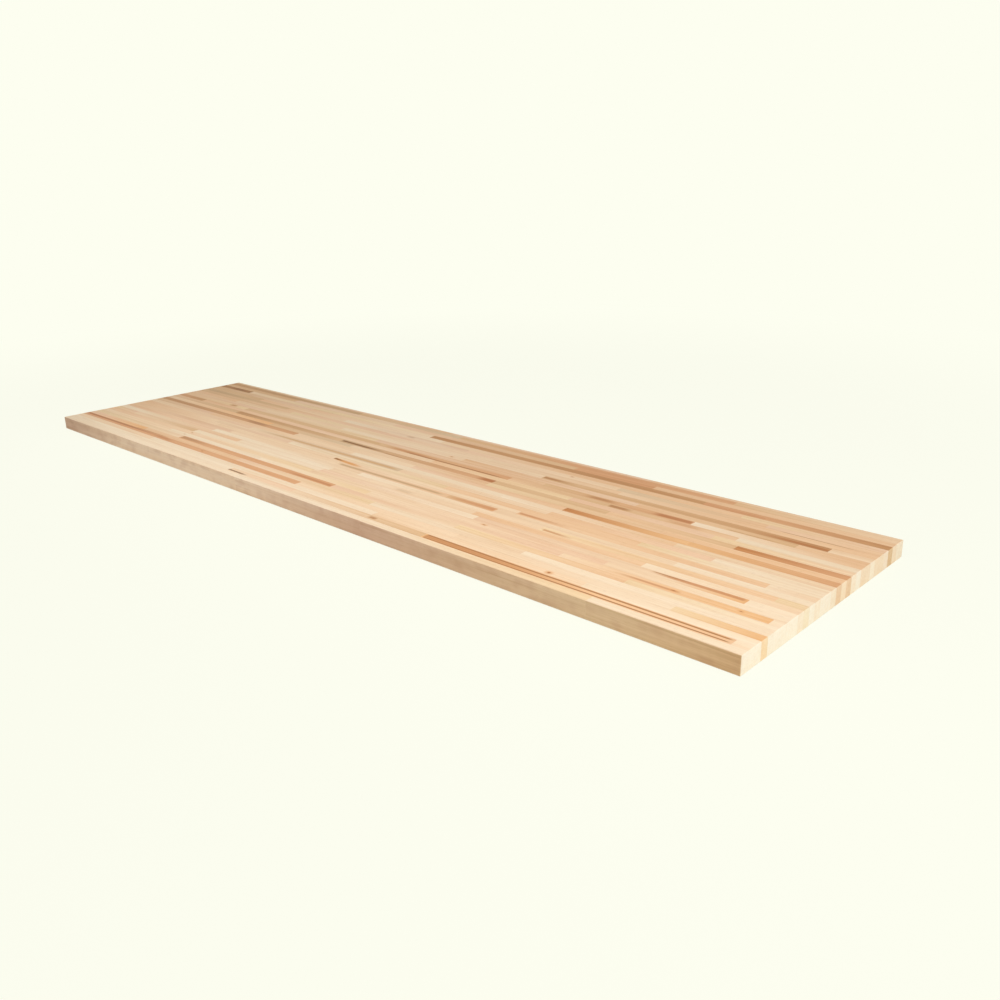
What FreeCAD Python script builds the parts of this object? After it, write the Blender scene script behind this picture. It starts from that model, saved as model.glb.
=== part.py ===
import FreeCAD, Part
import Sketcher
import os

# Butcher block countertop: solid hardwood staves, glued edge to edge in rows and
# butted end to end within each row, planed flat and eased along every outer edge.
# Lengths are in millimetres. The panel lies flat, with its length along X, its width
# along Y and its thickness along Z. The origin is the middle of the bottom face.
# The glued panel is ripped to its width along the back edge, so the back row is narrower.

# Driving sizes
DRIVING_SIZES = {
    "panel_length": 2438,
    "panel_thickness": 38,
    "row_count": 31,
    "stave_width": 21.1,
    "back_row_width": 12,
    "glue_line": 0.1,
    "edge_ease": 1.5,
}

# Cut list: the stave lengths of each row from the left end, back row first. The last
# stave of a row isn't listed, because it is whatever is left at the right end.
CUT_LIST = (
    (610, 520, 700),
    (730, 450, 440, 445),
    (420, 500, 700, 240),
    (180, 480, 445, 460, 445, 155),
    (560, 610, 430, 520),
    (310, 450, 530, 510, 390),
    (490, 490, 420, 420, 300),
    (540, 500, 560, 750),
    (260, 570, 510, 560, 390),
    (450, 560, 630, 420),
    (380, 670, 495, 300, 335),
    (155, 620, 510, 470, 380),
    (395, 535, 600, 350, 320),
    (610, 390, 530, 510),
    (770, 510, 510, 325),
    (340, 720, 560, 480),
    (600, 680, 500, 420),
    (450, 380, 640, 570),
    (480, 575, 670, 615),
    (590, 510, 420, 155, 480),
    (530, 690, 610, 550),
    (700, 430, 520, 460),
    (130, 365, 620, 560, 525, 145),
    (560, 540, 400, 550),
    (420, 480, 455, 600, 460),
    (525, 720, 435, 450),
    (350, 510, 560, 470),
    (1160, 560, 540),
    (470, 480, 530, 600),
    (440, 480, 280, 465, 740),
    (380, 610, 500, 635),
)


def fill_sheet(doc):
    """Puts the driving sizes and the cut list into the document's size sheet."""
    sheet = doc.addObject("Spreadsheet::Sheet", "Sizes")
    line = 1
    for name, value in DRIVING_SIZES.items():
        sheet.set(f"A{line}", name)
        sheet.set(f"B{line}", str(value))
        sheet.setAlias(f"B{line}", name)
        line += 1
    for row, lengths in enumerate(CUT_LIST, start=1):
        sheet.set(f"A{line}", f"row {row} cuts")
        for piece, length in enumerate(lengths, start=1):
            cell = f"{chr(ord('A') + piece)}{line}"
            sheet.set(cell, str(length))
            sheet.setAlias(cell, cut_name(row, piece))
        line += 1
    doc.recompute()
    return sheet


def cut_name(row, piece):
    """The name of one stave length in the size sheet."""
    return f"cut_{row:02d}_{piece}"


def make_panel_blank(doc):
    """The whole panel as it is after planing, with every outer edge eased."""
    body = doc.addObject("PartDesign::Body", "PanelBlank")
    sketch = body.newObject("Sketcher::SketchObject", "PanelRectangle")
    plane = next(item for item in body.Origin.OriginFeatures if item.Role == "XY_Plane")
    sketch.AttachmentSupport = [(plane, "")]
    sketch.MapMode = "FlatFace"
    draw_rectangle(sketch)
    sketch.setExpression("Constraints.panel_length", "Sizes.panel_length")
    sketch.setExpression("Constraints.panel_width", panel_width())

    pad = body.newObject("PartDesign::Pad", "PanelThickness")
    pad.Profile = sketch
    pad.setExpression("Length", "Sizes.panel_thickness")
    doc.recompute()

    ease = body.newObject("PartDesign::Fillet", "EasedEdges")
    ease.Base = (pad, [f"Edge{number + 1}" for number in range(len(pad.Shape.Edges))])
    ease.setExpression("Radius", "Sizes.edge_ease")
    body.Tip = ease
    doc.recompute()
    return body


def panel_width():
    """The panel's width, as the ripped back row and then every full row with its glue line."""
    full_rows = "(round(Sizes.row_count) - 1) * (Sizes.stave_width + Sizes.glue_line)"
    return f"Sizes.back_row_width + {full_rows}"


def draw_rectangle(sketch):
    """A rectangle about the origin, held by its length and its width."""
    corners = [
        FreeCAD.Vector(-1, -1, 0),
        FreeCAD.Vector(1, -1, 0),
        FreeCAD.Vector(1, 1, 0),
        FreeCAD.Vector(-1, 1, 0),
    ]
    for start, end in zip(corners, corners[1:] + corners[:1]):
        sketch.addGeometry(Part.LineSegment(start, end))
    for side in range(4):
        sketch.addConstraint(Sketcher.Constraint("Coincident", side, 2, (side + 1) % 4, 1))
    sketch.addConstraint(Sketcher.Constraint("Horizontal", 0))
    sketch.addConstraint(Sketcher.Constraint("Horizontal", 2))
    sketch.addConstraint(Sketcher.Constraint("Vertical", 1))
    sketch.addConstraint(Sketcher.Constraint("Vertical", 3))
    sketch.addConstraint(Sketcher.Constraint("Symmetric", 0, 1, 2, 1, -1, 1))
    length = sketch.addConstraint(Sketcher.Constraint("DistanceX", 0, 1, 0, 2, 2))
    sketch.renameConstraint(length, "panel_length")
    width = sketch.addConstraint(Sketcher.Constraint("DistanceY", 1, 1, 1, 2, 2))
    sketch.renameConstraint(width, "panel_width")


def make_row(doc, sheet, row, blank):
    """One row: its staves end to end along the panel, planed with the whole panel."""
    staves = lay_staves(doc, sheet, row)
    glued = doc.addObject("Part::Compound", f"GluedRow{row:02d}")
    glued.Links = staves
    planed = doc.addObject("Part::Common", f"StaveRow{row:02d}")
    planed.Label = f"stave_row_{row:02d}"
    planed.Base = blank
    planed.Tool = glued
    return planed, len(staves)


def lay_staves(doc, sheet, row):
    """The row's staves as sawn, each starting one glue line after the one before.

    A row longer than its cut list starts the list again, unless one stave no longer
    than the others fills what is left.
    """
    list_row = (row - 1) % len(CUT_LIST) + 1
    cuts = [cut_name(list_row, piece + 1) for piece in range(len(CUT_LIST[list_row - 1]))]
    longest = max(sheet.get(cut) for cut in cuts)
    left = sheet.panel_length
    start = "-Sizes.panel_length / 2"
    staves = []
    while left > 0:
        listed = len(staves) % len(cuts)
        stave = doc.addObject("Part::Box", f"Row{row:02d}Stave{len(staves) + 1}")
        stave.setExpression("Placement.Base.x", start)
        stave.setExpression("Placement.Base.y", row_front(row))
        stave.setExpression("Width", row_width(row))
        stave.setExpression("Height", "Sizes.panel_thickness")
        after = left - sheet.get(cuts[listed]) - sheet.glue_line
        fills_row = len(staves) > 0 and listed == 0 and left <= longest
        if fills_row or after < sheet.stave_width:
            stave.setExpression("Length", f"Sizes.panel_length / 2 - ({start})")
            left = 0
        else:
            stave.setExpression("Length", f"Sizes.{cuts[listed]}")
            start += f" + Sizes.{cuts[listed]} + Sizes.glue_line"
            left = after
        staves.append(stave)
    return staves


def row_width(row):
    """How wide the row's staves are: the back row is what the rip saw left of it."""
    return "Sizes.back_row_width" if row == 1 else "Sizes.stave_width"


def row_front(row):
    """Where the row's front face lies across the panel, counted from the back edge."""
    pitch = "(Sizes.stave_width + Sizes.glue_line)"
    return f"({panel_width()}) / 2 - Sizes.back_row_width - {row - 1} * {pitch}"


def check(doc, rows):
    """Stops if anything failed to build or a row isn't as many staves as were laid."""
    for item in doc.Objects:
        if "Invalid" in item.State or "Error" in item.State:
            raise RuntimeError(f"{item.Label} failed to build")
    for row, count in rows:
        if row.Shape.isNull() or not row.Shape.isValid():
            raise RuntimeError(f"{row.Label} has no valid shape")
        if len(row.Shape.Solids) != count:
            raise RuntimeError(f"{row.Label} has {len(row.Shape.Solids)} staves, not {count}")


def main():
    doc = FreeCAD.newDocument("ButcherBlockCountertop")
    sheet = fill_sheet(doc)
    blank = make_panel_blank(doc)
    row_count = round(sheet.row_count)
    rows = [make_row(doc, sheet, row, blank) for row in range(1, row_count + 1)]
    doc.recompute()
    check(doc, rows)
    os.makedirs("parts", exist_ok=True)
    for row, count in rows:
        row.Shape.exportStep(f"parts/{row.Label}.step")
        print(row.Label, count, "staves,", round(row.Shape.Volume / 1000, 1), "cm3")


main()
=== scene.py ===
import logging
import math
import random
from dataclasses import dataclass, field
from enum import Enum
from typing import Any

import bmesh
import bpy
from mathutils import Matrix, Vector


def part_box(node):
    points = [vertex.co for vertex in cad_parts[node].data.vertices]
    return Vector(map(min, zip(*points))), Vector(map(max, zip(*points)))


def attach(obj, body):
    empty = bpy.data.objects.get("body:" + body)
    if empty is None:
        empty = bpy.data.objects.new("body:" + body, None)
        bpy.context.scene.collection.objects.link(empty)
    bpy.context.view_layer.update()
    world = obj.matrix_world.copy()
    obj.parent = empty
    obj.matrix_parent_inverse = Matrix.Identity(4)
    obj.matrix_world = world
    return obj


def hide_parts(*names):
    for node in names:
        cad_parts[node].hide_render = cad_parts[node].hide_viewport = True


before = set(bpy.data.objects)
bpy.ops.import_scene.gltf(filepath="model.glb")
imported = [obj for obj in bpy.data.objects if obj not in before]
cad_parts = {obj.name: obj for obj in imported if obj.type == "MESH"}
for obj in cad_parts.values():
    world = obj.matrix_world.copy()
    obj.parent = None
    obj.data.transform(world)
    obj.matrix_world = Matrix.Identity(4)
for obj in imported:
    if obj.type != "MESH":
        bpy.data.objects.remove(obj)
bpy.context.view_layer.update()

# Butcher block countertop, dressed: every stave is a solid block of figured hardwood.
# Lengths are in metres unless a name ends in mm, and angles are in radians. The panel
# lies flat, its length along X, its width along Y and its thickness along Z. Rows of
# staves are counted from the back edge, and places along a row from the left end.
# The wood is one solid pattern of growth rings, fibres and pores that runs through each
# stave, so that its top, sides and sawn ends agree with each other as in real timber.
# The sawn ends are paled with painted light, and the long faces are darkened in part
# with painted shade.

LOG = logging.getLogger("countertop")
MILLIMETRE = 0.001
Rgb = tuple[int, int, int]
Rgba = tuple[float, float, float, float]
Span = tuple[float, float]
Place = tuple[float, float, float]


def linear(rgb: Rgb) -> Rgba:
    """Turns a colour as seen on a screen into the linear light that shaders use.

    Args:
        rgb: Red, green and blue from 0 to 255.

    Returns:
        The same colour in linear light, with a full alpha.
    """
    shares = [channel / 255 for channel in rgb]
    light = [s / 12.92 if s <= 0.04045 else ((s + 0.055) / 1.055) ** 2.4 for s in shares]
    return (light[0], light[1], light[2], 1.0)


def share_between(value: float, start: float, end: float) -> float:
    """How far a value has gone from start to end, held between 0 and 1.

    Args:
        value: The value.
        start: Where the share is 0.
        end: Where the share is 1.

    Returns:
        The share.
    """
    return min(1.0, max(0.0, (value - start) / (end - start)))


def blend(left: Rgba, right: Rgba, travel: float) -> list[float]:
    """Blends two colours without their alpha, from the left one at 0 to the right at 1."""
    return [near + (far - near) * travel for near, far in zip(left[:3], right[:3])]


class Tone(Enum):
    """Colours of the planed wood, each as its early growth and its denser late growth."""

    CREAM = ((251, 229, 199), (239, 205, 164))
    PEACH = ((248, 218, 182), (232, 190, 145))
    PETAL = ((247, 219, 192), (235, 196, 158))
    STRAW = ((246, 216, 172), (229, 188, 137))
    BLUSH = ((245, 210, 175), (229, 179, 137))
    APRICOT = ((243, 203, 160), (227, 176, 129))
    ASH = ((231, 200, 162), (208, 173, 132))
    CLAY = ((222, 184, 158), (200, 158, 124))
    TAN = ((233, 193, 147), (213, 165, 115))
    HONEY = ((243, 194, 139), (226, 161, 98))
    DRIFT = ((219, 181, 137), (190, 148, 104))
    ROSE = ((228, 174, 127), (205, 140, 91))
    UMBER = ((211, 159, 108), (179, 120, 70))
    RUST = ((213, 147, 88), (176, 104, 50))
    WALNUT = ((184, 130, 80), (136, 90, 48))

    @property
    def seasons(self) -> tuple[Rgba, Rgba]:
        """The pale growth of spring and the denser growth of summer, in linear light."""
        early, late = self.value
        return linear(early), linear(late)

    @property
    def late(self) -> Rgba:
        """The denser growth of summer alone, in linear light."""
        return self.seasons[1]


# How often an unpicked stave takes each pale tone, at the panel's back and at its front.
PALE_WEIGHTS = {
    Tone.CREAM: (2, 62),
    Tone.PEACH: (32, 32),
    Tone.STRAW: (16, 16),
    Tone.BLUSH: (26, 6),
    Tone.APRICOT: (36, 2),
}


@dataclass(frozen=True)
class Pick:
    """A stave whose tones are chosen, from its left end to its right.

    place_mm is anywhere within the stave.
    """

    row: int
    place_mm: float
    left: Tone
    right: Tone


@dataclass(frozen=True)
class Streak:
    """A darker line or patch of mineral stain that runs along a stave.

    across_start and across_end say where its middle lies in the row, from 0 at the
    back face to 1 at the front face. head and tail are the shares of its length over
    which it fades in and out.
    """

    row: int
    start_mm: float
    end_mm: float
    across_start: float
    across_end: float
    width_mm: float
    tone: Tone
    depth: float = 0.8
    head: float = 0.1
    tail: float = 0.3


@dataclass(frozen=True)
class Knot:
    """A small pin knot, round which the growth rings swell."""

    row: int
    place_mm: float
    across: float
    length_mm: float = 9.0
    width_mm: float = 4.0
    depth: float = 0.75


PICKS = (
    Pick(2, 365, Tone.UMBER, Tone.DRIFT),
    Pick(2, 950, Tone.TAN, Tone.ASH),
    Pick(2, 1400, Tone.TAN, Tone.ROSE),
    Pick(2, 1840, Tone.ROSE, Tone.ROSE),
    Pick(2, 2250, Tone.TAN, Tone.PEACH),
    Pick(3, 200, Tone.TAN, Tone.TAN),
    Pick(3, 660, Tone.BLUSH, Tone.PEACH),
    Pick(3, 1270, Tone.BLUSH, Tone.TAN),
    Pick(3, 1740, Tone.ROSE, Tone.ROSE),
    Pick(3, 2150, Tone.APRICOT, Tone.APRICOT),
    Pick(4, 90, Tone.WALNUT, Tone.WALNUT),
    Pick(4, 420, Tone.PEACH, Tone.STRAW),
    Pick(4, 880, Tone.STRAW, Tone.PEACH),
    Pick(4, 1330, Tone.UMBER, Tone.UMBER),
    Pick(4, 1790, Tone.UMBER, Tone.UMBER),
    Pick(4, 2090, Tone.ROSE, Tone.ROSE),
    Pick(4, 2300, Tone.ROSE, Tone.UMBER),
    Pick(5, 280, Tone.TAN, Tone.BLUSH),
    Pick(6, 155, Tone.TAN, Tone.TAN),
    Pick(6, 1550, Tone.BLUSH, Tone.PEACH),
    Pick(6, 1990, Tone.ASH, Tone.APRICOT),
    Pick(7, 240, Tone.DRIFT, Tone.TAN),
    Pick(7, 735, Tone.APRICOT, Tone.BLUSH),
    Pick(7, 1970, Tone.PEACH, Tone.APRICOT),
    Pick(7, 2280, Tone.APRICOT, Tone.APRICOT),
    Pick(8, 270, Tone.TAN, Tone.APRICOT),
    Pick(8, 1320, Tone.PEACH, Tone.PEACH),
    Pick(8, 1975, Tone.TAN, Tone.UMBER),
    Pick(8, 2394, Tone.PEACH, Tone.PEACH),
    Pick(9, 130, Tone.APRICOT, Tone.APRICOT),
    Pick(9, 2100, Tone.APRICOT, Tone.TAN),
    Pick(9, 2360, Tone.APRICOT, Tone.APRICOT),
    Pick(10, 1850, Tone.TAN, Tone.ROSE),
    Pick(11, 715, Tone.TAN, Tone.TAN),
    Pick(11, 1300, Tone.TAN, Tone.ROSE),
    Pick(11, 1700, Tone.APRICOT, Tone.TAN),
    Pick(11, 2010, Tone.TAN, Tone.APRICOT),
    Pick(11, 2310, Tone.CREAM, Tone.CREAM),
    Pick(12, 80, Tone.ROSE, Tone.UMBER),
    Pick(12, 1030, Tone.BLUSH, Tone.PEACH),
    Pick(13, 200, Tone.APRICOT, Tone.TAN),
    Pick(13, 660, Tone.UMBER, Tone.TAN),
    Pick(13, 1230, Tone.DRIFT, Tone.ROSE),
    Pick(13, 1700, Tone.TAN, Tone.TAN),
    Pick(13, 2040, Tone.APRICOT, Tone.TAN),
    Pick(13, 2320, Tone.RUST, Tone.ROSE),
    Pick(14, 300, Tone.PEACH, Tone.HONEY),
    Pick(14, 800, Tone.TAN, Tone.ASH),
    Pick(14, 1265, Tone.PEACH, Tone.APRICOT),
    Pick(14, 2240, Tone.APRICOT, Tone.APRICOT),
    Pick(15, 385, Tone.UMBER, Tone.ROSE),
    Pick(15, 1000, Tone.PEACH, Tone.PEACH),
    Pick(15, 1530, Tone.BLUSH, Tone.APRICOT),
    Pick(15, 1950, Tone.RUST, Tone.HONEY),
    Pick(15, 2275, Tone.HONEY, Tone.ROSE),
    Pick(16, 170, Tone.TAN, Tone.BLUSH),
    Pick(16, 700, Tone.APRICOT, Tone.PEACH),
    Pick(16, 1340, Tone.CREAM, Tone.CREAM),
    Pick(16, 2270, Tone.PEACH, Tone.PEACH),
    Pick(17, 300, Tone.PEACH, Tone.BLUSH),
    Pick(17, 940, Tone.PEACH, Tone.ASH),
    Pick(17, 1530, Tone.PEACH, Tone.PEACH),
    Pick(17, 2320, Tone.CREAM, Tone.CREAM),
    Pick(18, 1750, Tone.APRICOT, Tone.APRICOT),
    Pick(19, 240, Tone.APRICOT, Tone.PEACH),
    Pick(19, 1400, Tone.PEACH, Tone.PEACH),
    Pick(19, 2030, Tone.APRICOT, Tone.APRICOT),
    Pick(20, 295, Tone.APRICOT, Tone.BLUSH),
    Pick(20, 850, Tone.PEACH, Tone.PEACH),
    Pick(20, 1310, Tone.PEACH, Tone.APRICOT),
    Pick(20, 1598, Tone.TAN, Tone.ROSE),
    Pick(20, 1900, Tone.PEACH, Tone.PEACH),
    Pick(20, 2300, Tone.CREAM, Tone.CREAM),
    Pick(21, 265, Tone.APRICOT, Tone.BLUSH),
    Pick(21, 2100, Tone.STRAW, Tone.APRICOT),
    Pick(21, 2409, Tone.STRAW, Tone.STRAW),
    Pick(22, 1400, Tone.PEACH, Tone.PEACH),
    Pick(22, 1880, Tone.APRICOT, Tone.APRICOT),
    Pick(23, 312, Tone.PEACH, Tone.TAN),
    Pick(23, 1930, Tone.BLUSH, Tone.PEACH),
    Pick(23, 2272, Tone.PEACH, Tone.HONEY),
    Pick(23, 2390, Tone.CREAM, Tone.CREAM),
    Pick(24, 280, Tone.APRICOT, Tone.PEACH),
    Pick(24, 1300, Tone.PEACH, Tone.PEACH),
    Pick(24, 1720, Tone.PEACH, Tone.BLUSH),
    Pick(24, 2250, Tone.PEACH, Tone.CREAM),
    Pick(25, 200, Tone.PEACH, Tone.PEACH),
    Pick(25, 660, Tone.CREAM, Tone.CREAM),
    Pick(25, 1127, Tone.CREAM, Tone.STRAW),
    Pick(25, 1650, Tone.PEACH, Tone.BLUSH),
    Pick(25, 2185, Tone.PEACH, Tone.HONEY),
    Pick(25, 2426, Tone.CREAM, Tone.CREAM),
    Pick(26, 885, Tone.ROSE, Tone.ROSE),
    Pick(26, 1460, Tone.BLUSH, Tone.PEACH),
    Pick(27, 175, Tone.BLUSH, Tone.HONEY),
    Pick(27, 605, Tone.APRICOT, Tone.APRICOT),
    Pick(27, 1140, Tone.BLUSH, Tone.STRAW),
    Pick(28, 580, Tone.ROSE, Tone.ROSE),
    Pick(28, 1440, Tone.PEACH, Tone.PEACH),
    Pick(28, 2350, Tone.STRAW, Tone.HONEY),
    Pick(29, 235, Tone.PEACH, Tone.PEACH),
    Pick(29, 1215, Tone.CREAM, Tone.CREAM),
    Pick(29, 1800, Tone.PEACH, Tone.PEACH),
    Pick(29, 2260, Tone.CREAM, Tone.CREAM),
    Pick(30, 220, Tone.CREAM, Tone.CREAM),
    Pick(30, 1060, Tone.PEACH, Tone.BLUSH),
    Pick(30, 1430, Tone.PEACH, Tone.TAN),
    Pick(30, 2035, Tone.HONEY, Tone.APRICOT),
    Pick(31, 190, Tone.CREAM, Tone.CREAM),
    Pick(31, 700, Tone.CREAM, Tone.CREAM),
    Pick(31, 1240, Tone.CREAM, Tone.CREAM),
    Pick(31, 1800, Tone.CREAM, Tone.STRAW),
    Pick(31, 2280, Tone.CREAM, Tone.CREAM),
)

STREAKS = (
    Streak(4, 60, 150, 0.5, 0.5, 16, Tone.WALNUT, 0.5, 0.4, 0.3),
    Streak(6, 2220, 2410, 0.9, 0.93, 2.5, Tone.UMBER, 0.8),
    Streak(6, 1040, 1085, 0.5, 0.5, 12, Tone.UMBER, 0.35, 0.4, 0.4),
    Streak(8, 1602, 1720, 0.5, 0.5, 14, Tone.UMBER, 0.8, 0.02, 0.8),
    Streak(8, 2180, 2350, 0.6, 0.65, 12, Tone.RUST, 0.65, 0.6, 0.02),
    Streak(9, 2130, 2270, 0.8, 0.8, 3, Tone.UMBER, 0.6),
    Streak(10, 1755, 1870, 0.5, 0.5, 15, Tone.UMBER, 0.7, 0.4, 0.4),
    Streak(10, 1950, 2060, 0.5, 0.5, 17, Tone.RUST, 0.7, 0.3, 0.05),
    Streak(11, 275, 330, 0.5, 0.5, 16, Tone.ROSE, 0.8, 0.4, 0.4),
    Streak(11, 1060, 1320, 0.5, 0.6, 14, Tone.ROSE, 0.8, 0.3, 0.5),
    Streak(11, 1150, 1545, 0.8, 0.82, 7, Tone.UMBER, 0.95, 0.1, 0.15),
    Streak(11, 1850, 1920, 0.5, 0.5, 15, Tone.UMBER, 0.8, 0.1, 0.4),
    Streak(11, 1990, 2110, 0.5, 0.5, 16, Tone.ROSE, 0.5, 0.4, 0.4),
    Streak(13, 932, 1140, 0.5, 0.62, 10, Tone.WALNUT, 0.95, 0.03, 0.5),
    Streak(13, 1110, 1250, 0.85, 0.9, 4, Tone.UMBER, 0.8, 0.2, 0.5),
    Streak(13, 1465, 1532, 0.5, 0.5, 18, Tone.RUST, 0.85, 0.6, 0.02),
    Streak(15, 500, 640, 0.5, 0.5, 17, Tone.WALNUT, 0.35, 0.4, 0.4),
    Streak(17, 610, 1275, 0.55, 0.5, 11, Tone.TAN, 0.85, 0.3, 0.05),
    Streak(19, 1057, 1190, 0.35, 0.75, 13, Tone.HONEY, 1.0, 0.03, 0.4),
    Streak(19, 1057, 1105, 0.35, 0.5, 8, Tone.WALNUT, 0.9, 0.05, 0.7),
    Streak(19, 1726, 1900, 0.5, 0.6, 11, Tone.ROSE, 0.85, 0.05, 0.8),
    Streak(20, 1105, 1520, 0.5, 0.55, 11, Tone.DRIFT, 0.7, 0.04, 0.1),
    Streak(20, 1500, 1673, 0.5, 0.5, 14, Tone.ROSE, 0.6, 0.4, 0.03),
    Streak(21, 1835, 1930, 0.6, 0.8, 9, Tone.ROSE, 0.75, 0.05, 0.6),
    Streak(22, 1374, 1460, 0.5, 0.5, 14, Tone.DRIFT, 0.3, 0.3, 0.5),
    Streak(23, 2130, 2345, 0.32, 0.3, 11, Tone.ROSE, 0.85, 0.3, 0.05),
    Streak(23, 2140, 2240, 0.2, 0.22, 3.5, Tone.UMBER, 0.85, 0.1, 0.5),
    Streak(25, 2080, 2240, 0.5, 0.55, 8, Tone.ROSE, 0.75, 0.4, 0.1),
    Streak(26, 525, 690, 0.5, 0.5, 16, Tone.WALNUT, 0.4, 0.05, 0.7),
    Streak(26, 1040, 1244, 0.6, 0.6, 11, Tone.RUST, 0.5, 0.4, 0.03),
    Streak(27, 300, 520, 0.92, 0.96, 3, Tone.UMBER, 0.85, 0.2, 0.3),
    Streak(28, 0, 560, 0.28, 0.32, 10, Tone.RUST, 0.75, 0.02, 0.5),
    Streak(28, 430, 560, 0.4, 0.5, 12, Tone.RUST, 0.4, 0.4, 0.4),
    Streak(30, 918, 1012, 0.7, 0.75, 8, Tone.WALNUT, 0.85, 0.04, 0.4),
    Streak(30, 1480, 1515, 0.5, 0.5, 12, Tone.UMBER, 0.75, 0.4, 0.3),
    Streak(30, 1667, 2150, 0.5, 0.5, 13, Tone.RUST, 0.6, 0.01, 0.8),
    Streak(30, 1667, 2405, 0.15, 0.23, 5.5, Tone.UMBER, 1.0, 0.01, 0.02),
    Streak(30, 1667, 2405, 0.87, 0.77, 4.5, Tone.UMBER, 1.0, 0.01, 0.02),
)

KNOTS = (
    Knot(6, 1655, 0.3),
    Knot(9, 1295, 0.5, 12, 5),
    Knot(24, 510, 0.45, 8, 5),
    Knot(24, 1720, 0.45, 12, 5),
    Knot(25, 505, 0.5, 8, 4),
    Knot(25, 2220, 0.5, 14, 5),
    Knot(25, 2357, 0.4),
    Knot(28, 710, 0.5, 12, 5),
    Knot(29, 1995, 0.5, 12, 9, 0.9),
)


class Value:
    """A number that varies over a surface, written in ordinary arithmetic."""

    def __init__(self, graph: "Graph", socket: bpy.types.NodeSocket) -> None:
        """Wraps a node's output so that arithmetic on it adds maths nodes."""
        self.graph = graph
        self.socket = socket

    def __add__(self, other: "Value | float") -> "Value":
        """The sum with another value or number."""
        return self.graph.maths("ADD", self, other)

    def __radd__(self, other: float) -> "Value":
        """The sum with a number on the left."""
        return self.graph.maths("ADD", other, self)

    def __sub__(self, other: "Value | float") -> "Value":
        """The difference from another value or number."""
        return self.graph.maths("SUBTRACT", self, other)

    def __rsub__(self, other: float) -> "Value":
        """A number less this value."""
        return self.graph.maths("SUBTRACT", other, self)

    def __mul__(self, other: "Value | float") -> "Value":
        """The product with another value or number."""
        return self.graph.maths("MULTIPLY", self, other)

    def __rmul__(self, other: float) -> "Value":
        """The product with a number on the left."""
        return self.graph.maths("MULTIPLY", other, self)

    def __truediv__(self, other: "Value | float") -> "Value":
        """The quotient by another value or number."""
        return self.graph.maths("DIVIDE", self, other)

    def __rtruediv__(self, other: float) -> "Value":
        """A number divided by this value."""
        return self.graph.maths("DIVIDE", other, self)

    def __pow__(self, other: float) -> "Value":
        """This value raised to a power."""
        return self.graph.maths("POWER", self, other)

    def __abs__(self) -> "Value":
        """The value without its sign."""
        return self.graph.maths("ABSOLUTE", self)

    def fraction(self) -> "Value":
        """What is left above the whole number below."""
        return self.graph.maths("FRACT", self)

    def whole(self) -> "Value":
        """The whole number below."""
        return self.graph.maths("FLOOR", self)

    def at_most(self, limit: float) -> "Value":
        """This value, or the limit where that is less."""
        return self.graph.maths("MINIMUM", self, limit)

    def rise(self, start: float, end: float) -> "Value":
        """Goes smoothly from 0 at start to 1 at end, whichever of the two is higher.

        Args:
            start: The value at which the result is 0.
            end: The value at which the result is 1.

        Returns:
            The smooth step between them.
        """
        low, high = min(start, end), max(start, end)
        limits = {"From Min": low, "From Max": high, "To Min": 0.0, "To Max": 1.0}
        if start > end:
            limits.update({"To Min": 1.0, "To Max": 0.0})
        settings = {"interpolation_type": "SMOOTHSTEP"}
        step = self.graph.node("ShaderNodeMapRange", settings, {"Value": self, **limits})
        return Value(self.graph, step.outputs["Result"])


@dataclass(frozen=True)
class Figure:
    """One layer of the wood's figure, by how often it varies in a metre.

    detail is how many finer layers it has, and roughness how strong they are.
    """

    along: float
    across: float
    detail: float = 2.0
    roughness: float = 0.55


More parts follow.
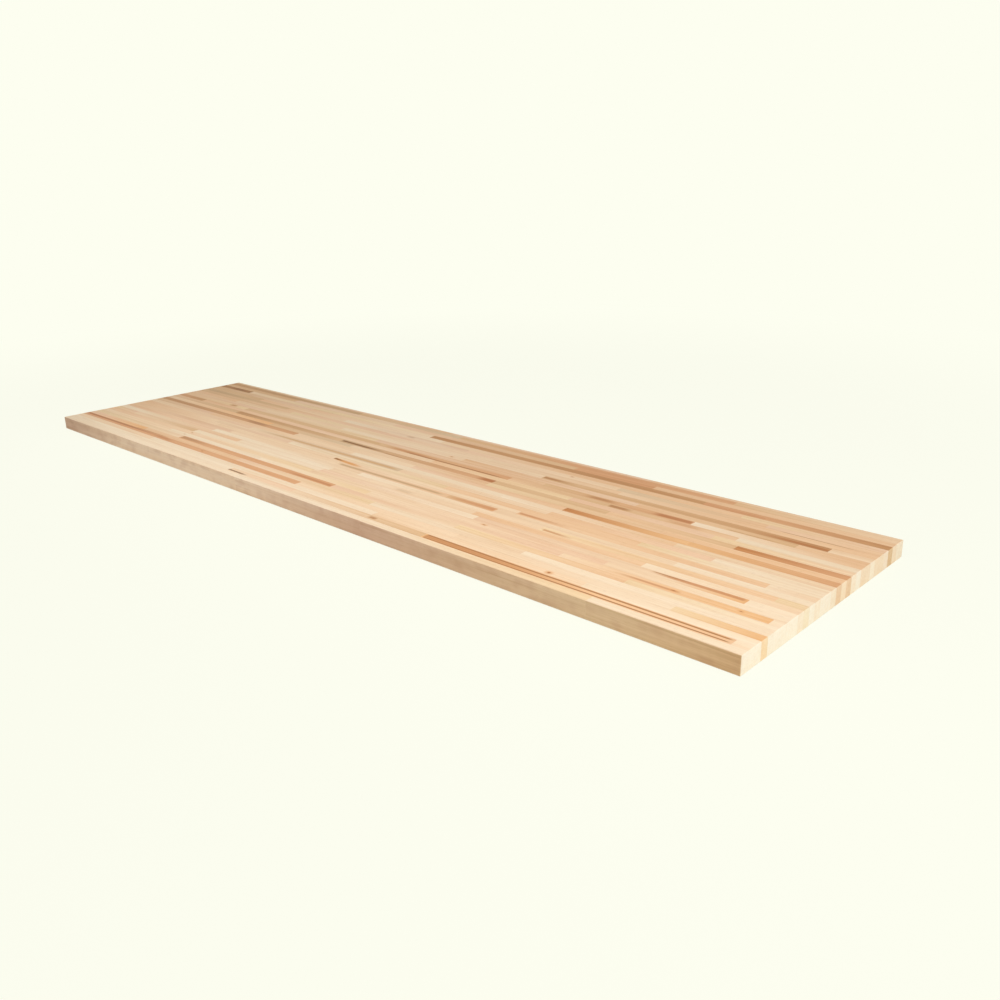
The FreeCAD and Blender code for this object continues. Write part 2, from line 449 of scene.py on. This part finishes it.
class Graph:
    """The nodes of one material or of the world, added a value at a time."""

    def __init__(self, owner: bpy.types.Material | bpy.types.World) -> None:
        """Clears the nodes of a new material or world.

        Args:
            owner: The material or world.
        """
        owner.use_nodes = True
        self.tree = owner.node_tree
        self.tree.nodes.clear()

    def node(self, kind: str, settings: dict[str, Any] | None = None,
             inputs: dict[str | int, Any] | None = None) -> bpy.types.Node:
        """Adds a node.

        Args:
            kind: The node's type.
            settings: Its own settings, made before its inputs.
            inputs: Numbers, colours, sockets or values, by the name or place of an input.

        Returns:
            The new node.
        """
        made = self.tree.nodes.new(kind)
        for name, value in (settings or {}).items():
            setattr(made, name, value)
        for name, value in (inputs or {}).items():
            if isinstance(value, Value):
                value = value.socket
            if isinstance(value, bpy.types.NodeSocket):
                self.tree.links.new(value, made.inputs[name])
            else:
                made.inputs[name].default_value = value
        return made

    def maths(self, operation: str, *values: Value | float) -> Value:
        """Applies one maths operation to values and numbers, in their order."""
        made = self.node("ShaderNodeMath", {"operation": operation}, dict(enumerate(values)))
        return Value(self, made.outputs[0])

    def vector_maths(self, operation: str, first: Any, second: Any) -> bpy.types.NodeSocket:
        """Applies one maths operation to two vectors."""
        made = self.node("ShaderNodeVectorMath", {"operation": operation},
                         {0: first, 1: second})
        return made.outputs["Vector"]

    def axes(self, vector: bpy.types.NodeSocket) -> tuple[Value, ...]:
        """Splits a vector into its three parts."""
        made = self.node("ShaderNodeSeparateXYZ", None, {0: vector})
        return tuple(Value(self, socket) for socket in made.outputs)

    def attribute(self, name: str, output: str) -> bpy.types.NodeSocket:
        """Reads an attribute that the mesh carries, as a Vector, a Color or a Fac."""
        return self.node("ShaderNodeAttribute", {"attribute_name": name}).outputs[output]

    def stretch(self, place: bpy.types.NodeSocket, figure: Figure) -> bpy.types.NodeSocket:
        """Scales a place by how often a figure varies along the grain and across it."""
        return self.vector_maths("MULTIPLY", place,
                                 (figure.along, figure.across, figure.across))

    def noise(self, place: bpy.types.NodeSocket, figure: Figure) -> Value:
        """Soft random variation from about -0.5 to 0.5, read at a place in the log."""
        made = self.node("ShaderNodeTexNoise", None,
                         {"Vector": self.stretch(place, figure), "Scale": 1.0,
                          "Detail": figure.detail, "Roughness": figure.roughness})
        return Value(self, made.outputs[0]) - 0.5

    def mix(self, share: Value, first: Any, second: Any) -> bpy.types.NodeSocket:
        """Blends two colours, from the first at a share of 0 to the second at 1."""
        made = self.node("ShaderNodeMix", {"data_type": "RGBA"},
                         {0: share, 6: first, 7: second})
        return made.outputs[2]


@dataclass(frozen=True)
class RowPlace:
    """Where one row lies in the panel, by its lowest and its highest corner."""

    low: Vector
    high: Vector

    def along(self, place_mm: float) -> float:
        """The X of a place that is given from the left end."""
        return self.low.x + place_mm * MILLIMETRE

    def across(self, share: float) -> float:
        """The Y of a place that is given as a share from the back face to the front."""
        return self.high.y + (self.low.y - self.high.y) * share


class Board:
    """One row's wood in the making: its nodes, its place and its slow variations."""

    def __init__(self, graph: Graph, place: RowPlace, bands: Figure, clouds: Figure) -> None:
        """Reads where a spot lies, in the panel and in the log that its stave came from.

        Args:
            graph: The material's nodes.
            place: Where the row lies.
            bands: The layer of fine bands along the grain.
            clouds: The layer of slow, cloudy changes.
        """
        here = graph.node("ShaderNodeTexCoord").outputs["Object"]
        self.graph = graph
        self.place = place
        self.x, self.y, self.z = graph.axes(here)
        self.log = graph.vector_maths("ADD", here, graph.attribute("grain_shift", "Vector"))
        self.bands = graph.noise(self.log, bands)
        self.clouds = graph.noise(self.log, clouds)

    def knot_reach(self, knot: Knot) -> Value:
        """How far a spot is from a knot.

        Args:
            knot: The knot.

        Returns:
            0 at the knot's middle and 1 at its own edge.
        """
        along = self.x - self.place.along(knot.place_mm)
        across = self.y - self.place.across(knot.across)
        along = along * (2 / (knot.length_mm * MILLIMETRE))
        across = across * (2 / (knot.width_mm * MILLIMETRE))
        return (along * along + across * across) ** 0.5


@dataclass(frozen=True)
class Hardwood:
    """Planed, unfinished hardwood whose grain runs through the stave along its length.

    The depths say how far each layer of figure turns the wood from its early growth to
    its late growth. The frays say how much the fine bands break up an edge. An edge is
    the pair of values between which something goes from nothing to full.
    """

    base_depth: float = 0.3
    ring_depth: float = 0.45
    band_depth: float = 1.3
    fibre_depth: float = 0.5
    cloud_depth: float = 0.9
    bands: Figure = Figure(2.2, 170.0, 3.5)
    fibres: Figure = Figure(20.0, 760.0)
    clouds: Figure = Figure(3.6, 30.0)

    ring_gap: float = 0.0029
    ring_wander: float = 0.007
    ring_crowding: float = 1.6
    ring_sharpness: float = 5.0
    faintest_ring: float = 0.25
    ring_drift: Figure = Figure(1.6, 24.0)
    ring_spacing: Figure = Figure(0.5, 55.0, 1.0)

    streak_wander: float = 0.0035
    streak_fray: float = 0.6
    streak_edge: Span = (1.15, 0.55)

    knot_fray: float = 1.2
    knot_core: Span = (1.0, 0.3)
    knot_halo: Span = (2.4, 0.9)
    halo_share: float = 0.6
    swell_edge: Span = (3.2, 0.0)
    swell_height: float = 0.003

    pore_cells: Figure = Figure(55.0, 760.0)
    pore_choice: Span = (0.45, 0.6)
    pore_edge: Span = (0.36, 0.12)
    pore_share: float = 0.22
    pore_shade: Rgb = (172, 124, 80)

    mottle: Figure = Figure(24.0, 42.0, 1.0)
    mottle_fray: float = 0.3
    mottle_edge: Span = (-0.1, 0.25)
    mottle_share: float = 0.24
    mottle_shade: Rgb = (182, 128, 98)

    sheen: float = 0.2
    roughness: float = 0.6
    rough_bands: float = 0.16
    rough_pores: float = 0.12
    rough_sawn: float = 0.12
    bump_strength: float = 0.35
    bump_height: float = 0.00012
    raised_fibres: float = 0.6
    raised_bands: float = 0.3
    sunk_pores: float = 0.5

    def dress(self, place: RowPlace, streaks: list[Streak], knots: list[Knot],
              name: str) -> bpy.types.Material:
        """Makes the wood of a row.

        Args:
            place: Where the row lies, for its streaks and knots.
            streaks: The stains in the row.
            knots: The pin knots in the row.
            name: The material's name.

        Returns:
            The material.
        """
        material = bpy.data.materials.new(name)
        graph = Graph(material)
        board = Board(graph, place, self.bands, self.clouds)
        fibre = graph.noise(board.log, self.fibres)
        pores = self.pores(board)
        density = (self.base_depth + self.growth_rings(board, knots) * self.ring_depth
                   + board.bands * self.band_depth + fibre * self.fibre_depth
                   + board.clouds * self.cloud_depth)
        colour = graph.mix(density, graph.attribute("early", "Color"),
                           graph.attribute("late", "Color"))
        for streak in streaks:
            colour = graph.mix(self.streak_share(board, streak), colour, streak.tone.late)
        for knot in knots:
            colour = self.add_knot(board, knot, colour)
        colour = graph.mix(pores * self.pore_share, colour, linear(self.pore_shade))
        colour = self.add_mottle(board, colour)

        height = (fibre * self.raised_fibres + board.bands * self.raised_bands
                  - pores * self.sunk_pores)
        bump = graph.node("ShaderNodeBump", None,
                          {"Strength": self.bump_strength, "Distance": self.bump_height,
                           "Height": height})
        sawn = Value(graph, graph.attribute("sawn_end", "Fac"))
        surface = graph.node("ShaderNodeBsdfPrincipled", None, {
            "Base Color": colour,
            "Roughness": (self.roughness + board.bands * self.rough_bands
                          + pores * self.rough_pores + sawn * self.rough_sawn),
            "Specular IOR Level": self.sheen,
            "Normal": bump.outputs["Normal"],
        })
        graph.node("ShaderNodeOutputMaterial", None, {"Surface": surface.outputs[0]})
        return material

    def growth_rings(self, board: Board, knots: list[Knot]) -> Value:
        """The year rings about the stave's pith, each paler at its start.

        Args:
            board: The row's wood.
            knots: Knots that push the rings aside.

        Returns:
            From 0 in early growth to 1 at the end of a strong ring.
        """
        graph = board.graph
        pith_y, pith_z, lean = graph.axes(graph.attribute("pith", "Vector"))
        aside = board.y - pith_y - lean * board.x
        below = board.z - pith_z
        reach = (aside * aside + below * below) ** 0.5
        reach = reach + graph.noise(board.log, self.ring_drift) * self.ring_wander
        for knot in knots:
            swell = board.knot_reach(knot).rise(*self.swell_edge)
            reach = reach + swell * self.swell_height
        crowding = graph.noise(board.log, self.ring_spacing) * self.ring_crowding
        count = reach / self.ring_gap + crowding
        edge = count.fraction() ** self.ring_sharpness
        chance = graph.node("ShaderNodeTexWhiteNoise", {"noise_dimensions": "1D"},
                            {"W": count.whole()})
        strength = Value(graph, chance.outputs["Value"])
        return edge * (strength * (1 - self.faintest_ring) + self.faintest_ring)

    def pores(self, board: Board) -> Value:
        """Fine open pores: short dashes along the grain and dots on a sawn end.

        Args:
            board: The row's wood.

        Returns:
            From 0 between pores to 1 in an open one.
        """
        graph = board.graph
        cells = graph.node("ShaderNodeTexVoronoi", {"feature": "F1"},
                           {"Vector": graph.stretch(board.log, self.pore_cells),
                            "Scale": 1.0})
        parts = graph.node("ShaderNodeSeparateColor", None, {0: cells.outputs["Color"]})
        chosen = Value(graph, parts.outputs[0]).rise(*self.pore_choice)
        return Value(graph, cells.outputs["Distance"]).rise(*self.pore_edge) * chosen

    def streak_share(self, board: Board, streak: Streak) -> Value:
        """How much of a spot a streak covers.

        Args:
            board: The row's wood.
            streak: The streak.

        Returns:
            From 0 outside the streak to its own depth in its middle.
        """
        place = board.place
        start, end = place.along(streak.start_mm), place.along(streak.end_mm)
        travel = (board.x - start) * (1 / (end - start))
        first, last = place.across(streak.across_start), place.across(streak.across_end)
        middle = travel * (last - first) + first
        half_width = streak.width_mm * MILLIMETRE / 2
        offset = abs(board.y - middle + board.clouds * self.streak_wander) * (1 / half_width)
        across = (offset + board.bands * self.streak_fray).rise(*self.streak_edge)
        window = travel.rise(0.0, streak.head) * travel.rise(1.0, 1.0 - streak.tail)
        return across * window * streak.depth

    def add_knot(self, board: Board, knot: Knot,
                 colour: bpy.types.NodeSocket) -> bpy.types.NodeSocket:
        """Darkens the wood to a pin knot with a warm halo round it.

        Args:
            board: The row's wood.
            knot: The knot.
            colour: The colour of the wood without it.

        Returns:
            The colour with the knot.
        """
        reach = board.knot_reach(knot) + board.bands * self.knot_fray
        halo = reach.rise(*self.knot_halo) * knot.depth * self.halo_share
        colour = board.graph.mix(halo, colour, Tone.HONEY.late)
        core = reach.rise(*self.knot_core) * knot.depth
        return board.graph.mix(core, colour, Tone.RUST.late)

    def add_mottle(self, board: Board, colour: bpy.types.NodeSocket) -> bpy.types.NodeSocket:
        """Adds the soft mottle that shows on the panel's long faces.

        Args:
            board: The row's wood.
            colour: The colour of the wood without it.

        Returns:
            The colour with the mottle.
        """
        graph = board.graph
        patches = graph.noise(board.log, self.mottle) + board.bands * self.mottle_fray
        flank = Value(graph, graph.attribute("flank", "Fac"))
        share = flank * patches.rise(*self.mottle_edge) * self.mottle_share
        return graph.mix(share, colour, linear(self.mottle_shade))


@dataclass(frozen=True)
class Stave:
    """One stave of a row, as it was cut and drawn.

    tones are those of its planed faces at its left and right ends, and the side tones
    those of its long face, partly the wood's own tone and partly painted shade. pith holds
    the Y at X = 0 and the Z of the log's pith, and how far its Y moves for each metre of X.
    lift says how much lighter than its tones it is.
    """

    start: float
    end: float
    tones: tuple[Tone, Tone]
    side_tones_and_shade: tuple[Tone, Tone]
    grain_shift: Vector
    pith: Vector
    lift: float


class GrainLayers:
    """The attributes by which a row's mesh tells the wood about each of its staves."""

    def __init__(self, whole: bmesh.types.BMesh) -> None:
        """Adds the layers to a row's mesh, before it has any faces.

        Args:
            whole: The row's mesh.
        """
        faces, corners = whole.faces.layers, whole.loops.layers
        self.grain_shift = faces.float_vector.new("grain_shift")
        self.pith = faces.float_vector.new("pith")
        self.sawn_end = faces.float.new("sawn_end")
        self.flank = faces.float.new("flank")
        self.seasons = [corners.float_color.new(name) for name in ("early", "late")]


@dataclass
class StaveRow:
    """One row of staves, butted end to end along the panel.

    facing is how much of a face's normal has to point along an axis for the face to
    count as facing that way. The turns are the parts of it between which a face goes
    from lying along the grain to being a sawn end or a long face. The powers pale a
    sawn end's red, green and blue: painted light, standing in for the bright light on
    the ends. The flank tones are the colours of the panel's long faces at the joints, in
    turn from the left end; they are partly the wood's own tone and partly painted shade,
    darker than the top.
    """

    number: int
    rows: int
    ease: float = 0.0015
    ease_segments: int = 4
    crease: float = math.radians(32)
    joint_tolerance: float = 0.00002
    facing: float = 0.5
    sawn_turn: Span = (0.35, 0.8)
    # painted light: these powers pale the colour of the sawn ends, as if brightly lit
    painted_end_light_powers: tuple[float, float, float] = (0.43, 0.47, 0.52)
    flank_turn: Span = (0.4, 0.9)
    # the long faces' tones are partly the wood's own and partly painted shade
    flank_tones_and_shade: tuple[Tone, ...] = (Tone.CLAY, Tone.PETAL, Tone.PETAL, Tone.CLAY, Tone.ASH,
                                Tone.DRIFT)
    log_size: float = 9.0
    pith_distance: Span = (0.035, 0.11)
    pith_lean: float = 0.012
    lift: Span = (0.975, 1.02)
    stave_count: int = field(default=0, init=False)

    @property
    def node(self) -> str:
        """The name of the row's solid."""
        return f"stave_row_{self.number:02d}"

    def spans(self) -> list[Span]:
        """Finds where the staves start and end, from the row's solid.

        Returns:
            The X of each stave's two ends, from the left.
        """
        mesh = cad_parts[self.node].data
        reaches = []
        for polygon in mesh.polygons:
            along = [mesh.vertices[index].co.x for index in polygon.vertices]
            reaches.append((min(along), max(along)))
        reaches.sort()
        merged = [list(reaches[0])]
        for start, end in reaches[1:]:
            if start <= merged[-1][1] + self.joint_tolerance:
                merged[-1][1] = max(merged[-1][1], end)
            else:
                merged.append([start, end])
        return [(start, end) for start, end in merged]

    def build(self, chance: random.Random) -> bpy.types.Object:
        """Makes the row's staves and dresses them.

        Args:
            chance: The source of every random choice, shared by all rows.

        Returns:
            The row as one object.
        """
        place = RowPlace(*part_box(self.node))
        whole = bmesh.new()
        layers = GrainLayers(whole)
        spans = self.spans()
        self.stave_count = len(spans)
        for order, (start, end) in enumerate(spans):
            stave = self.draw_stave(order, start, end, place, chance)
            for face in self.add_stave(whole, stave, place):
                self.colour(face, stave, place, layers)
        mesh = bpy.data.meshes.new(f"row_{self.number:02d}_staves")
        whole.to_mesh(mesh)
        whole.free()
        mesh.set_sharp_from_angle(angle=self.crease)
        mesh.materials.append(self.wood(place))
        piece = bpy.data.objects.new(mesh.name, mesh)
        bpy.context.scene.collection.objects.link(piece)
        return piece

    def wood(self, place: RowPlace) -> bpy.types.Material:
        """Gives the row its wood: its own, or the plain wood if it has no streak or knot.

        Args:
            place: Where the row lies.

        Returns:
            The material.
        """
        streaks = [streak for streak in STREAKS if streak.row == self.number]
        knots = [knot for knot in KNOTS if knot.row == self.number]
        if streaks or knots:
            return Hardwood().dress(place, streaks, knots, f"hardwood_row_{self.number:02d}")
        shared = bpy.data.materials.get("hardwood_plain")
        return shared or Hardwood().dress(place, [], [], "hardwood_plain")

    def draw_stave(self, order: int, start: float, end: float, place: RowPlace,
                   chance: random.Random) -> Stave:
        """Draws how a stave looks and where in the log it lay.

        Args:
            order: Its place in the row, from 0 at the left end.
            start: The X of its left end.
            end: The X of its right end.
            place: Where the row lies.
            chance: The source of random choices.

        Returns:
            The stave.
        """
        tones = self.choose_tones(place, start, end, chance)
        # first and last are the long face's tones at the stave's ends, partly painted shade
        first, last = (self.flank_tones_and_shade[joint % len(self.flank_tones_and_shade)] for joint in (order, order + 1))
        shift = Vector([chance.uniform(0, self.log_size) for _ in range(3)])
        pith = self.choose_pith(place, (start + end) / 2, chance)
        return Stave(start, end, tones, (first, last), shift, pith,
                     chance.uniform(*self.lift))

    def choose_tones(self, place: RowPlace, start: float, end: float,
                     chance: random.Random) -> tuple[Tone, Tone]:
        """Picks a stave's tones at its left and right ends.

        Args:
            place: Where the row lies.
            start: The X of the stave's left end.
            end: The X of its right end.
            chance: The source of random choices.

        Returns:
            The two tones, drawn from the pale ones unless the stave was picked.
        """
        forward = self.number / self.rows
        weights = [back + (front - back) * forward for back, front in PALE_WEIGHTS.values()]
        left, right = chance.choices(list(PALE_WEIGHTS), weights=weights, k=2)
        for pick in PICKS:
            if pick.row == self.number and start <= place.along(pick.place_mm) <= end:
                return pick.left, pick.right
        return left, right

    def choose_pith(self, place: RowPlace, middle_x: float, chance: random.Random) -> Vector:
        """Draws where the log's pith lay.

        Args:
            place: Where the row lies.
            middle_x: The X of the stave's middle.
            chance: The source of random choices.

        Returns:
            The pith's Y at X = 0, its Z, and how far its Y moves for each metre of X.
        """
        turn = chance.uniform(0, math.tau)
        distance = chance.uniform(*self.pith_distance)
        lean = chance.uniform(-self.pith_lean, self.pith_lean)
        middle = (place.low + place.high) / 2
        aside = middle.y + distance * math.cos(turn)
        return Vector((aside - lean * middle_x, middle.z + distance * math.sin(turn), lean))

    def add_stave(self, whole: bmesh.types.BMesh, stave: Stave,
                  place: RowPlace) -> list[bmesh.types.BMFace]:
        """Adds one stave as a block with the panel's outer edges eased.

        Args:
            whole: The row's mesh.
            stave: The stave.
            place: Where the row lies.

        Returns:
            The stave's faces.
        """
        before = set(whole.faces)
        low = Vector((stave.start, place.low.y, place.low.z))
        high = Vector((stave.end, place.high.y, place.high.z))
        shape = Matrix.Translation((low + high) / 2) @ Matrix.Diagonal((*(high - low), 1.0))
        bmesh.ops.create_cube(whole, size=1.0, matrix=shape)
        outer = {face for face in whole.faces
                 if face not in before and self.is_outer(face, place)}
        eased = [edge for edge in whole.edges
                 if all(face in outer for face in edge.link_faces)]
        bmesh.ops.bevel(whole, geom=eased, offset=self.ease, offset_type="OFFSET",
                        segments=self.ease_segments, profile=0.5, affect="EDGES",
                        material=-1, clamp_overlap=True)
        return [face for face in whole.faces if face not in before]

    def is_outer(self, face: bmesh.types.BMFace, place: RowPlace) -> bool:
        """Tells whether a face of a block is on the outside of the panel.

        Args:
            face: The face.
            place: Where the row lies.

        Returns:
            False for a face in a joint.
        """
        normal = face.normal
        if abs(normal.z) > self.facing:
            return True
        if normal.y > self.facing:
            return self.number == 1
        if normal.y < -self.facing:
            return self.number == self.rows
        end = place.high.x if normal.x > 0 else place.low.x
        return abs(face.calc_center_median().x - end) < self.joint_tolerance

    def colour(self, face: bmesh.types.BMFace, stave: Stave, place: RowPlace,
               layers: GrainLayers) -> None:
        """Tells a face and its corners how the wood looks there.

        Args:
            face: The face.
            stave: The stave that it belongs to.
            place: Where the row lies.
            layers: Where the row's mesh keeps it.
        """
        turned = share_between(abs(face.normal.x), *self.sawn_turn)
        face.smooth = True
        face[layers.grain_shift] = stave.grain_shift
        face[layers.pith] = stave.pith
        face[layers.sawn_end] = turned
        face[layers.flank] = share_between(abs(face.normal.y), *self.flank_turn)
        for corner in face.loops:
            spot = corner.vert.co
            travel = (spot.x - stave.start) / (stave.end - stave.start)
            deep = self.flank_share(spot, place)
            for season, layer in enumerate(layers.seasons):
                left, right = (tone.seasons[season] for tone in stave.tones)
                # the long face's tones carry painted shade as well as the wood's own tone
                first, last = (tone.seasons[season] for tone in stave.side_tones_and_shade)
                planed = [light * stave.lift for light in blend(left, right, travel)]
                side = blend(first, last, travel)
                corner[layer] = self.shade(planed, side, deep, turned)

    def flank_share(self, spot: Vector, place: RowPlace) -> float:
        """How much of a long face's colour, partly painted shade, a spot has.

        Args:
            spot: The spot.
            place: Where the row lies.

        Returns:
            From 0 on the top to 1 on one of the panel's two long faces.
        """
        if self.number == self.rows:
            return 1.0 - share_between(spot.y - place.low.y, 0.0, self.ease)
        if self.number == 1:
            return 1.0 - share_between(place.high.y - spot.y, 0.0, self.ease)
        return 0.0

    def shade(self, planed: list[float], side: list[float], deep: float,
              turned: float) -> Rgba:
        """Turns the planed colour towards a long face's own tone and painted shade, and pales
        a sawn end as painted light.

        Args:
            planed: The colour of the planed top.
            side: The colour of the panel's long face, partly the wood's own tone and partly
                painted shade.
            deep: How much of the long face's colour shows.
            turned: How much of the face shows end grain, and so how far painted light pales
                it.

        Returns:
            The colour of the face.
        """
        # a sawn end is paled by painted light; deep turns the top towards the long face's
        # colour, partly painted shade
        red, green, blue = ((top + (flank - top) * deep) ** (1.0 - (1.0 - power) * turned)
                            for top, flank, power in zip(planed, side, self.painted_end_light_powers))
        return (red, green, blue, 1.0)


@dataclass
class Panel:
    """The whole countertop: every row, ridden on the one body."""

    seed: int = 41
    rows: list[StaveRow] = field(default_factory=list)

    def build(self) -> None:
        """Builds each row in turn from the back edge and puts it in place of its solid."""
        chance = random.Random(self.seed)
        count = sum(1 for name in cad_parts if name.startswith("stave_row_"))
        self.rows = [StaveRow(number, count) for number in range(1, count + 1)]
        for row in self.rows:
            piece = row.build(chance)
            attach(piece, "root")
            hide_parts(row.node)
            LOG.info("%s: %d staves, %d faces", piece.name, row.stave_count,
                     len(piece.data.polygons))


@dataclass(frozen=True)
class Softbox:
    """A soft rectangular lamp."""

    name: str
    place: Place
    aim: Place
    size: Span
    power: float

    def hang(self) -> None:
        """Hangs the lamp at its place, turned towards what it lights."""
        lamp = bpy.data.lights.new(self.name, "AREA")
        lamp.shape = "RECTANGLE"
        lamp.size, lamp.size_y = self.size
        lamp.energy = self.power
        hung = bpy.data.objects.new(self.name, lamp)
        hung.location = self.place
        aim = Vector(self.aim) - Vector(self.place)
        hung.rotation_euler = aim.to_track_quat("-Z", "Y").to_euler()
        hung.visible_camera = False
        bpy.context.scene.collection.objects.link(hung)


@dataclass
class Studio:
    """A plain pale floor under soft light, and the camera.

    Near the panel the floor keeps a share of the light and shadow that fall on it, which
    fades out between shade_reach and paper_reach. paper_near is the share of plain paper
    that shows near the panel.
    """

    paper: Rgb = (253, 254, 240)
    paper_roughness: float = 0.9
    paper_near: float = 0.91
    shade_reach: float = 1.3
    paper_reach: float = 3.2
    floor_half: float = 30.0
    floor_drop: float = 0.0002
    sky: Rgb = (255, 255, 255)
    sky_strength: float = 0.455
    key: Softbox = Softbox("key_softbox", (3.35, -0.9, 3.4), (0.0, 0.0, 0.0), (2.6, 2.6), 92.0)
    strip: Softbox = Softbox("front_strip", (0.1, -0.28, 0.55), (0.1, -0.28, 0.0),
                             (2.7, 0.08), 2.3)
    lens: float = 34.71
    sensor: float = 36.0
    camera_place: Place = (1.8747, -1.5654, 0.7787)
    azimuth: float = math.radians(43.383)
    elevation: float = math.radians(19.231)
    roll: float = math.radians(-1.229)

    def build(self) -> None:
        """Sets the floor, the light, the sky and the camera."""
        bpy.context.scene.view_settings.view_transform = "Standard"
        self.lay_floor()
        self.light_sky()
        self.key.hang()
        self.strip.hang()
        self.set_camera()

    def lay_floor(self) -> None:
        """Lays a wide floor that shows as pale paper and keeps the panel's soft shadow."""
        flat = bmesh.new()
        bmesh.ops.create_grid(flat, x_segments=1, y_segments=1, size=self.floor_half,
                              matrix=Matrix.Translation((0, 0, -self.floor_drop)))
        mesh = bpy.data.meshes.new("floor")
        flat.to_mesh(mesh)
        flat.free()
        mesh.materials.append(self.paper_material())
        floor = bpy.data.objects.new("floor", mesh)
        bpy.context.scene.collection.objects.link(floor)

    def paper_material(self) -> bpy.types.Material:
        """Makes pale paper that the camera sees as near white away from the panel.

        Returns:
            The material.
        """
        material = bpy.data.materials.new("paper")
        graph = Graph(material)
        here = graph.node("ShaderNodeTexCoord").outputs["Object"]
        distance = graph.node("ShaderNodeVectorMath", {"operation": "LENGTH"}, {0: here})
        far = Value(graph, distance.outputs["Value"]).rise(self.shade_reach, self.paper_reach)
        share = (far * (1 - self.paper_near) + self.paper_near) * self.seen_ray(graph)
        paper = linear(self.paper)
        lit = graph.node("ShaderNodeBsdfPrincipled", None,
                         {"Base Color": paper, "Roughness": self.paper_roughness})
        glow = graph.node("ShaderNodeEmission", None, {"Color": paper, "Strength": 1.0})
        both = graph.node("ShaderNodeMixShader", None,
                          {0: share, 1: lit.outputs[0], 2: glow.outputs[0]})
        graph.node("ShaderNodeOutputMaterial", None, {"Surface": both.outputs[0]})
        return material

    def seen_ray(self, graph: Graph) -> Value:
        """Marks the rays that show the background, straight or by way of gloss or glass.

        Args:
            graph: The nodes that ask.

        Returns:
            1 for such a ray and 0 for one that only lights the scene.
        """
        rays = graph.node("ShaderNodeLightPath").outputs
        names = ("Is Camera Ray", "Is Glossy Ray", "Is Transmission Ray")
        camera, glossy, through = (Value(graph, rays[name]) for name in names)
        return (camera + glossy + through).at_most(1.0)

    def light_sky(self) -> None:
        """Lights the scene evenly from all round, and shows the paper colour behind it."""
        world = bpy.data.worlds.new("sky")
        bpy.context.scene.world = world
        graph = Graph(world)
        even = graph.node("ShaderNodeBackground", None,
                          {"Color": linear(self.sky), "Strength": self.sky_strength})
        shown = graph.node("ShaderNodeBackground", None,
                           {"Color": linear(self.paper), "Strength": 1.0})
        both = graph.node("ShaderNodeMixShader", None,
                          {0: self.seen_ray(graph), 1: even.outputs[0], 2: shown.outputs[0]})
        graph.node("ShaderNodeOutputWorld", None, {"Surface": both.outputs[0]})

    def set_camera(self) -> None:
        """Sets the camera by its place and its three angles."""
        turn, tilt = self.azimuth, self.elevation
        back = Vector((math.sin(turn) * math.cos(tilt), -math.cos(turn) * math.cos(tilt),
                       math.sin(tilt)))
        level = Vector((math.cos(turn), math.sin(turn), 0.0))
        upright = back.cross(level)
        right = level * math.cos(self.roll) + upright * math.sin(self.roll)
        up = upright * math.cos(self.roll) - level * math.sin(self.roll)
        camera = bpy.data.cameras.new("camera")
        camera.lens = self.lens
        camera.sensor_width = self.sensor
        held = bpy.data.objects.new("camera", camera)
        stance = Matrix((right, up, back)).transposed().to_4x4()
        stance.translation = Vector(self.camera_place)
        held.matrix_world = stance
        bpy.context.scene.collection.objects.link(held)
        bpy.context.scene.camera = held


def main() -> None:
    """Builds the panel and the studio round it."""
    logging.basicConfig(level=logging.INFO, format="%(name)s %(message)s")
    Panel().build()
    Studio().build()


if __name__ == "__main__":
    main()
